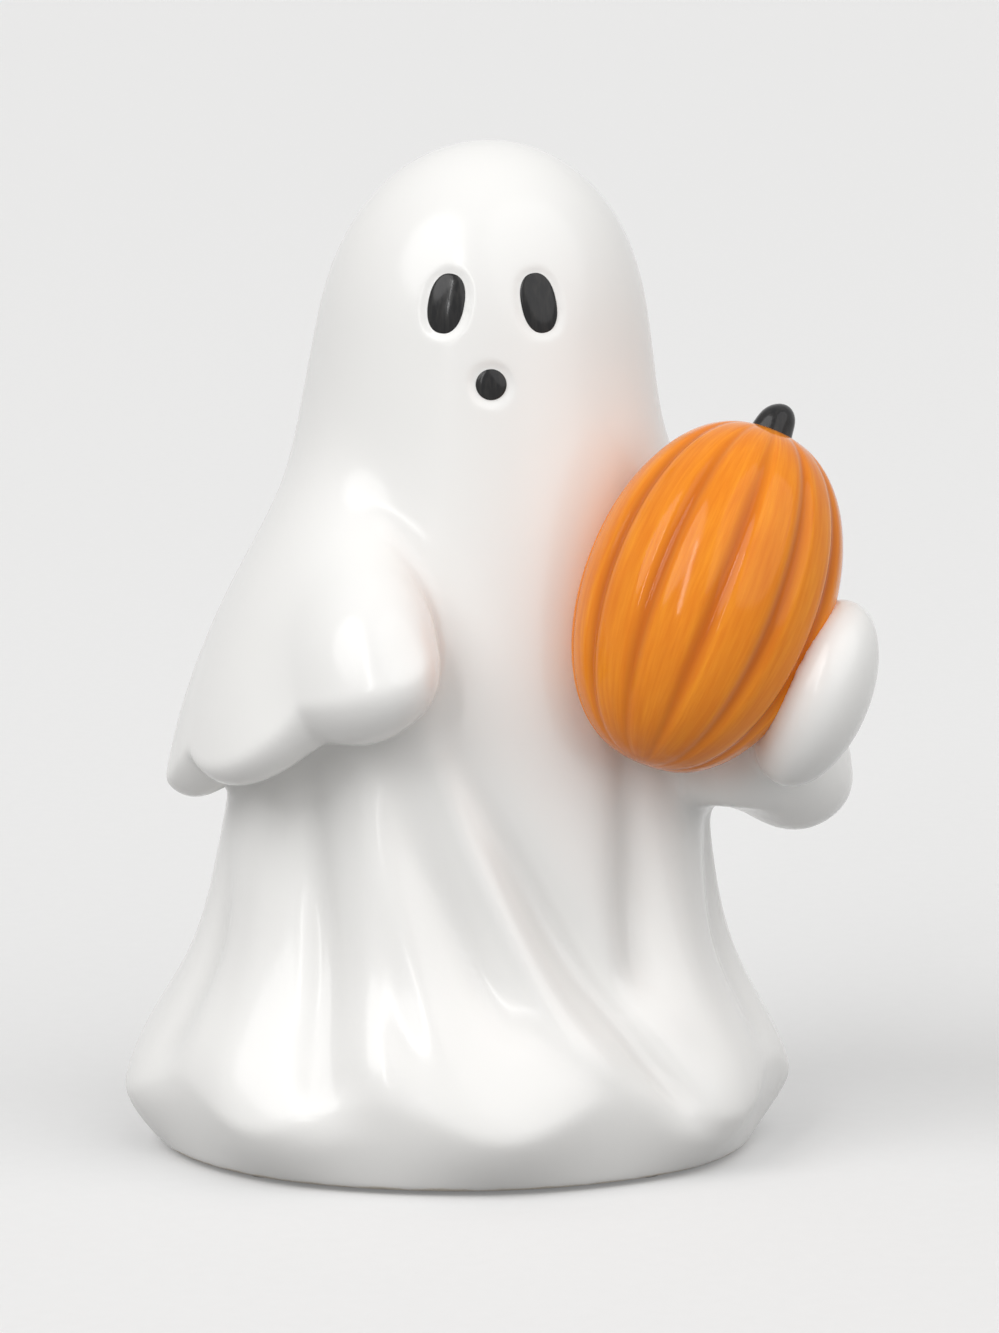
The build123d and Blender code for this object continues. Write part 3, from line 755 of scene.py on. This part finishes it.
class GhostBodyLook(bpy.types.PropertyGroup):
    """Sizes and colours of the white body."""

    skin_step: bpy.props.FloatProperty(
        name="Skin step", description="Grid spacing of the blended skin, in millimetres",
        default=0.6, min=0.4, max=2.0)
    sleeve_fillet: bpy.props.FloatProperty(
        name="Sleeve fillet", description="Reach of the fillet between sleeves and cloak, in millimetres",
        default=8.5, min=1.0)
    lobe_fillet: bpy.props.FloatProperty(
        name="Lobe fillet", description="Reach of the fillet between a sleeve's lobes, in millimetres",
        default=12.0, min=1.0)
    mitt_fillet: bpy.props.FloatProperty(
        name="Mitt fillet", description="Reach of the fillet between mitt and sleeve, in millimetres",
        default=12.0, min=1.0)
    dimple: bpy.props.FloatProperty(
        name="Face dimple", description="Depth of the dimples for eyes and mouth, in millimetres",
        default=0.5, min=0.0)
    white: bpy.props.FloatVectorProperty(
        name="White", description="Colour of the glaze", subtype="COLOR", size=3, default=(0.90, 0.895, 0.88))
    # Grey for the hollows: partly thick glaze, partly painted shade
    pooled_and_shaded: bpy.props.FloatVectorProperty(
        name="Pooled", description="Colour of the glaze where it lies thick",
        subtype="COLOR", size=3, default=(0.78, 0.775, 0.76))
    clay: bpy.props.FloatVectorProperty(
        name="Clay", description="Colour of the bare clay under the foot",
        subtype="COLOR", size=3, default=(0.72, 0.66, 0.57))
    roughness: bpy.props.FloatProperty(
        name="Roughness", description="Roughness of the glaze", subtype="FACTOR", default=0.20, min=0.0, max=1.0)


class GhostPumpkinLook(bpy.types.PropertyGroup):
    """Colours of the pumpkin."""

    orange: bpy.props.FloatVectorProperty(
        name="Orange", description="Main colour of the glaze", subtype="COLOR", size=3, default=(0.84, 0.235, 0.010))
    light_orange: bpy.props.FloatVectorProperty(
        name="Light orange", description="Colour of its thin streaks",
        subtype="COLOR", size=3, default=(0.92, 0.315, 0.018))
    # Darker orange of the thick washes, also used as painted shade on the pumpkin's underside
    wash_and_shade_orange: bpy.props.FloatVectorProperty(
        name="Deep orange", description="Colour of its thick washes",
        subtype="COLOR", size=3, default=(0.72, 0.165, 0.006))
    groove_brown: bpy.props.FloatVectorProperty(
        name="Groove brown", description="Colour in the grooves",
        subtype="COLOR", size=3, default=(0.56, 0.12, 0.005))
    roughness: bpy.props.FloatProperty(
        name="Roughness", description="Roughness of the glaze", subtype="FACTOR", default=0.09, min=0.0, max=1.0)


class GhostBlackLook(bpy.types.PropertyGroup):
    """Colours of the black glaze and the pads."""

    black: bpy.props.FloatVectorProperty(
        name="Black", description="Colour of the black glaze", subtype="COLOR", size=3, default=(0.012, 0.012, 0.013))
    thin_black: bpy.props.FloatVectorProperty(
        name="Thin black", description="Colour where the black glaze is thin",
        subtype="COLOR", size=3, default=(0.026, 0.025, 0.024))
    roughness: bpy.props.FloatProperty(
        name="Roughness", description="Roughness of the black glaze",
        subtype="FACTOR", default=0.14, min=0.0, max=1.0)
    rubber: bpy.props.FloatVectorProperty(
        name="Rubber", description="Colour of the pads", subtype="COLOR", size=3, default=(0.58, 0.57, 0.55))


class GhostStageLook(bpy.types.PropertyGroup):
    """Light and background."""

    background: bpy.props.FloatVectorProperty(
        name="Background", description="Colour of floor and background",
        subtype="COLOR", size=3, default=(0.88, 0.88, 0.88))
    floor: bpy.props.FloatVectorProperty(
        name="Floor", description="Colour of the floor's paper", subtype="COLOR", size=3, default=(0.30, 0.30, 0.30))
    evenness: bpy.props.FloatProperty(
        name="Evenness", description="Share of the even background in what the camera sees of the floor",
        subtype="FACTOR", default=0.2, min=0.0, max=1.0)
    key_strength: bpy.props.FloatProperty(
        name="Key", description="Strength of the soft key light", default=1.2, min=0.0)
    fill_strength: bpy.props.FloatProperty(
        name="Fill", description="Strength of the weaker fill light", default=1.1, min=0.0)
    strip_power: bpy.props.FloatProperty(
        name="Strip", description="Power of the slim lamp", default=4.5, min=0.0, unit="POWER")
    sky: bpy.props.FloatProperty(
        name="Sky", description="Strength of the even light all round", default=0.47, min=0.0)


class GHOST_OT_body(bpy.types.Operator):
    """Makes the white glazed body: cloak, both sleeves and the mitt in one fired skin"""

    bl_idname = "ghost.body"
    bl_label = "Glazed Body"

    def execute(self, context):
        look = context.scene.ghost_body
        skin = Skin(look.skin_step, SKIN_LOW, SKIN_HIGH, SKIN_BAND)
        field = skin.distance(cloak_rows())
        right = skin.distance(sleeve_rows(RIGHT_SHOULDER, RIGHT_HEM, RIGHT_NOTCHES))
        right = joined(right, skin.distance(lobe_rows(RIGHT_SHOULDER, RIGHT_HEM, RIGHT_HAND)), look.lobe_fillet)
        left = skin.distance(sleeve_rows(LEFT_SHOULDER, LEFT_HEM, LEFT_NOTCHES))
        left = joined(left, skin.distance(lobe_rows(LEFT_SHOULDER, LEFT_HEM, LEFT_CUFF)), look.lobe_fillet)
        left = joined(left, skin.distance(mitt_rows()), look.mitt_fillet)
        field = joined(joined(field, right, look.sleeve_fillet), left, look.sleeve_fillet)
        field = softened(field, 1)
        # Blurred field that finds the hollows, where the glaze is greyed partly as painted shade
        hollowness = softened(field, int(round(POOL_AND_SHADE_REACH / skin.step)))
        field = np.maximum(field, -(skin.distance(pumpkin_rows()[0]) + PUMPKIN_SEAT))
        field = np.maximum(field, -skin.distance(cavity_rows()))
        x, y, z = skin.axes()
        x, y, z = (x - FOOT_SHIFT)[:, None, None], y[None, :, None], z[None, None, :]
        half_width, half_depth = CLOAK_WIDTHS[0] / 2.0 - RING_WIDTH, CLOAK_DEPTHS[0] / 2.0 - RING_WIDTH
        ring = (np.hypot(x / half_width, y / half_depth) - 1.0) * half_depth
        recess = np.maximum(ring, z - FOOT_LEVEL - RECESS_DEPTH)
        hole = np.maximum(np.hypot(x, y) - POUR_HOLE_DIAMETER / 2.0, z - CAVITY_FLOOR - RECESS_DEPTH)
        field = np.maximum(np.maximum(field, -recess), -hole).astype(np.float32)
        points, quads = skin.surface(field)
        # Share of grey in each hollow: partly thick glaze, partly painted shade
        pool_and_shade = np.clip(-skin.sample(hollowness, points) / POOL_AND_SHADE_DEPTH, 0.0, 1.0)
        points = dimpled(points, look.dimple, DIMPLE_MARGIN)
        piece = mesh_object("glazed_body", points, [quads], {"pool_and_shade": pool_and_shade}, smooth_sweeps=4)
        settle(piece, white_glaze(look), "white_glaze", "cloak_shell", "right_sleeve", "left_sleeve")
        return {"FINISHED"}


class GHOST_OT_pumpkin(bpy.types.Operator):
    """Makes the ribbed pumpkin with its brushed glaze"""

    bl_idname = "ghost.pumpkin"
    bl_label = "Pumpkin"

    def execute(self, context):
        rows, groove, turn, latitude = pumpkin_rows()
        verts, quads, tris = rows_solid(rows)
        values = {
            "groove": np.concatenate([groove.ravel(), [0.0, 0.0]]),
            "turn": np.concatenate([np.abs(turn - math.pi).ravel(), [0.0, 0.0]]),
            "latitude": np.concatenate([latitude.ravel(), [-1.57, 1.57]]),
        }
        piece = mesh_object("pumpkin_glazed", verts, [quads, tris], values)
        settle(piece, orange_glaze(context.scene.ghost_pumpkin), "orange_glaze", "pumpkin")
        return {"FINISHED"}


class GHOST_OT_stem(bpy.types.Operator):
    """Makes the short black stem with its ridges"""

    bl_idname = "ghost.stem"
    bl_label = "Stem"

    def execute(self, context):
        centre, across, aside, axis = pumpkin_axes()
        base = PUMPKIN_LENGTH / 2.0 - STEM_SINK
        turn = np.linspace(0.0, 2.0 * math.pi, 80, endpoint=False)
        rows = []
        for share in np.concatenate([np.linspace(0.0, 0.6, 20), 0.6 + 0.4 * np.sin(np.linspace(0.1, 1.57, 20))]):
            rounded = math.sqrt(max(0.015, 1.0 - (max(0.0, share - 0.55) / 0.455) ** 2.6))
            radius = mix(STEM_BASE_DIAMETER, STEM_TIP_DIAMETER, share) / 2.0 * rounded
            ridge = 1.0 + 0.05 * (1.0 - share) * np.cos(5.0 * turn + 0.6 * share)
            lean = STEM_BEND * share * share
            rise = base + (STEM_LENGTH + STEM_SINK) * share
            ring = (np.outer(radius * ridge * np.cos(turn) + lean, across)
                    + np.outer(radius * ridge * np.sin(turn), aside))
            rows.append(centre + ring + axis * rise)
        verts, quads, tris = rows_solid(rows)
        piece = mesh_object("stem_glazed", verts, [quads, tris])
        settle(piece, black_glaze(context.scene.ghost_black), "black_glaze", "pumpkin_stem")
        return {"FINISHED"}


class GHOST_OT_face(bpy.types.Operator):
    """Makes the eyes and the mouth, pillows of black glaze that follow the face"""

    bl_idname = "ghost.face"
    bl_label = "Face"

    def execute(self, context):
        material = black_glaze(context.scene.ghost_black)
        for name, bearing, height, size, lean, power in face_spots():
            middle, across, up, normal = spot_axes(bearing, height, lean)
            turn = np.linspace(0.0, 2.0 * math.pi, 120, endpoint=False)
            rows = []
            for reach, proud in self.profile():
                cos, sin = np.cos(turn), np.sin(turn)
                u = np.sign(cos) * np.abs(cos) ** (2.0 / power) * size[0] / 2.0 * reach
                v = np.sign(sin) * np.abs(sin) ** (2.0 / power) * size[1] / 2.0 * reach
                flat = middle + np.outer(u, across) + np.outer(v, up)
                rows.append(self.dropped(flat, normal) + normal * proud)
            verts, quads, tris = rows_solid(rows)
            piece = mesh_object(name + "_glazed", verts, [quads, tris])
            settle(piece, material, "black_glaze", name)
        return {"FINISHED"}

    @staticmethod
    def profile():
        """Reach and height of the pillow's rings, from its back to its crown."""
        back = [(reach, -1.1) for reach in np.linspace(0.05, 0.96, 12)]
        front = [(math.cos(a), -0.45 + 0.55 * math.sin(a)) for a in np.linspace(0.0, 1.52, 24)]
        return back + front

    @staticmethod
    def dropped(points, normal):
        """Points moved along the normal onto the smooth cloak."""
        points = points.copy()
        for _ in range(6):
            shift = points[:, 0] - cloak_shift(points[:, 2])
            width = cloak_half(points[:, 2], CLOAK_WIDTHS)
            depth = cloak_half(points[:, 2], CLOAK_DEPTHS)
            off = np.hypot(shift / width, points[:, 1] / depth) - 1.0
            points -= (off * depth)[:, None] * normal * 0.9
        return points


class GHOST_OT_pads(bpy.types.Operator):
    """Makes the four stick-on pads under the foot ring"""

    bl_idname = "ghost.pads"
    bl_label = "Foot Pads"

    def execute(self, context):
        turn = np.linspace(0.0, 2.0 * math.pi, 64, endpoint=False)
        ring_x = (CLOAK_WIDTHS[0] - RING_WIDTH) / 2.0
        ring_y = (CLOAK_DEPTHS[0] - RING_WIDTH) / 2.0
        parts, faces4, faces3, start = [], [], [], 0
        for bearing in PAD_BEARINGS:
            angle = math.radians(bearing)
            middle = np.array((FOOT_SHIFT + ring_x * math.sin(angle), -ring_y * math.cos(angle), 0.0))
            rows = []
            for shrink, level in PAD_EDGE:
                ring = np.stack([np.cos(turn), np.sin(turn), 0.0 * turn], axis=1) * PAD_DIAMETER / 2.0 * shrink
                rows.append(middle + ring + np.array((0.0, 0.0, PAD_THICKNESS * level)))
            verts, quads, tris = rows_solid(rows)
            parts.append(verts)
            faces4.append(quads + start)
            faces3.append(tris + start)
            start += len(verts)
        piece = mesh_object("pads_rubber", np.concatenate(parts), [np.concatenate(faces4), np.concatenate(faces3)])
        settle(piece, pad_rubber(context.scene.ghost_black), "pad_rubber", "foot_pads")
        return {"FINISHED"}


class GHOST_OT_stage(bpy.types.Operator):
    """Sets the floor, the light and the camera of the photograph"""

    bl_idname = "ghost.stage"
    bl_label = "Stage"

    def execute(self, context):
        look = context.scene.ghost_stage
        self.floor(look)
        self.world(look)
        target = Vector(VIEW_TARGET) * MM
        self.lamp("key_light", look.key_strength, KEY_SPREAD, KEY_PLACE, target)
        self.lamp("fill_light", look.fill_strength, FILL_SPREAD, FILL_PLACE, target)
        self.strip("strip_light", look.strip_power, STRIP_SIZE, STRIP_PLACE, target)
        elevation = math.radians(VIEW_ELEVATION)
        away = Vector((0.0, -math.cos(elevation), math.sin(elevation)))
        data = bpy.data.cameras.new("photo_camera")
        data.sensor_fit = "VERTICAL"
        data.sensor_height = 24.0
        data.lens = data.sensor_height * VIEW_FOCAL_PIXELS / VIEW_HEIGHT_PIXELS
        data.clip_start = 0.05
        data.clip_end = 20.0
        camera = bpy.data.objects.new("photo_camera", data)
        camera.location = target + away * VIEW_DISTANCE * MM
        camera.rotation_euler = (-away).to_track_quat("-Z", "Y").to_euler()
        context.scene.collection.objects.link(camera)
        context.scene.camera = camera
        context.scene.view_settings.view_transform = "Standard"
        return {"FINISHED"}

    @staticmethod
    def floor(look):
        """Pale floor that shows the figure's shadow and looks even to the camera."""
        mesh = bpy.data.meshes.new("floor")
        corners = [(x * FLOOR_REACH, y * FLOOR_REACH, 0) for x, y in ((-1, -1), (1, -1), (1, 1), (-1, 1))]
        mesh.from_pydata(corners, [], [(0, 1, 2, 3)])
        floor = bpy.data.objects.new("floor", mesh)
        bpy.context.scene.collection.objects.link(floor)
        shader = Shader("floor_paper")
        grain = shader.noise(shader.place(), 300.0, 2.0)
        rays = shader.node("LightPath").outputs
        path = shader.math("MAXIMUM", rays["Is Camera Ray"], rays["Is Glossy Ray"])
        path = shader.math("MAXIMUM", path, rays["Is Transmission Ray"])
        paper = shader.blend(grain, rgba(look.background), rgba([c * 0.97 for c in look.background]))
        paper = shader.blend(path, rgba(look.floor), paper)
        shader.finish(Base_Color=paper, Roughness=0.9, Specular_IOR_Level=0.1)
        glow = shader.node("Emission", Color=rgba(look.background), Strength=1.0)
        seen = shader.math("MULTIPLY", path, look.evenness)
        both = shader.node("MixShader")
        shader.give(both.inputs[0], seen)
        shader.give(both.inputs[1], shader.main.outputs[0])
        shader.give(both.inputs[2], glow.outputs[0])
        shader.give(shader.out.inputs[0], both.outputs[0])
        mesh.materials.append(shader.material)

    @staticmethod
    def world(look):
        """Even light all round, with the background's own colour for the camera."""
        world = bpy.data.worlds.new("studio")
        world.use_nodes = True
        tree = world.node_tree
        tree.nodes.clear()
        out = tree.nodes.new("ShaderNodeOutputWorld")
        light = tree.nodes.new("ShaderNodeBackground")
        light.inputs["Color"].default_value = (1.0, 0.99, 0.975, 1.0)
        light.inputs["Strength"].default_value = look.sky
        seen = tree.nodes.new("ShaderNodeBackground")
        seen.inputs["Color"].default_value = rgba(look.background)
        path = tree.nodes.new("ShaderNodeLightPath")
        both = tree.nodes.new("ShaderNodeMixShader")
        share = path.outputs["Is Camera Ray"]
        for ray in ("Is Glossy Ray", "Is Transmission Ray"):
            most = tree.nodes.new("ShaderNodeMath")
            most.operation = "MAXIMUM"
            tree.links.new(share, most.inputs[0])
            tree.links.new(path.outputs[ray], most.inputs[1])
            share = most.outputs[0]
        tree.links.new(share, both.inputs[0])
        tree.links.new(light.outputs[0], both.inputs[1])
        tree.links.new(seen.outputs[0], both.inputs[2])
        tree.links.new(both.outputs[0], out.inputs[0])
        bpy.context.scene.world = world

    @staticmethod
    def lamp(name, strength, spread, place, target):
        """Far soft lamp that lights the figure and the floor evenly."""
        data = bpy.data.lights.new(name, "SUN")
        data.energy = strength
        data.angle = math.radians(spread)
        lamp = bpy.data.objects.new(name, data)
        lamp.location = place
        lamp.rotation_euler = (Vector(place) - target).to_track_quat("Z", "Y").to_euler()
        bpy.context.scene.collection.objects.link(lamp)

    @staticmethod
    def strip(name, power, size, place, target):
        """Slim lamp that puts narrow streaks in the glaze."""
        data = bpy.data.lights.new(name, "AREA")
        data.shape = "RECTANGLE"
        data.size, data.size_y = size
        data.energy = power
        lamp = bpy.data.objects.new(name, data)
        lamp.location = place
        lamp.rotation_euler = (Vector(place) - target).to_track_quat("Z", "Y").to_euler()
        bpy.context.scene.collection.objects.link(lamp)


class GHOST_PT_panel(bpy.types.Panel):
    """Lists the steps that dress the figure"""

    bl_idname = "GHOST_PT_panel"
    bl_label = "Ghost Figure"
    bl_space_type = "VIEW_3D"
    bl_region_type = "UI"
    bl_category = "Ghost"

    def draw(self, context):
        for step in STEPS:
            self.layout.operator(step.bl_idname)
        for name in LOOKS:
            settings = getattr(context.scene, name)
            box = self.layout.box()
            for key in settings.bl_rna.properties.keys():
                if key not in ("rna_type", "name"):
                    box.prop(settings, key)


LOOKS = {
    "ghost_body": GhostBodyLook,
    "ghost_pumpkin": GhostPumpkinLook,
    "ghost_black": GhostBlackLook,
    "ghost_stage": GhostStageLook,
}
STEPS = (GHOST_OT_stage, GHOST_OT_body, GHOST_OT_pumpkin, GHOST_OT_stem, GHOST_OT_face, GHOST_OT_pads)


def register():
    """Registers the settings, the steps and the panel."""
    for kind in (*LOOKS.values(), *STEPS, GHOST_PT_panel):
        bpy.utils.register_class(kind)
    for name, kind in LOOKS.items():
        setattr(bpy.types.Scene, name, bpy.props.PointerProperty(type=kind))


def unregister():
    """Takes the settings, the steps and the panel away again."""
    for name in LOOKS:
        delattr(bpy.types.Scene, name)
    for kind in reversed((*LOOKS.values(), *STEPS, GHOST_PT_panel)):
        bpy.utils.unregister_class(kind)


def main():
    """Dresses the figure."""
    register()
    bpy.ops.ghost.stage()
    bpy.ops.ghost.body()
    bpy.ops.ghost.pumpkin()
    bpy.ops.ghost.stem()
    bpy.ops.ghost.face()
    bpy.ops.ghost.pads()


if __name__ == "__main__":
    main()
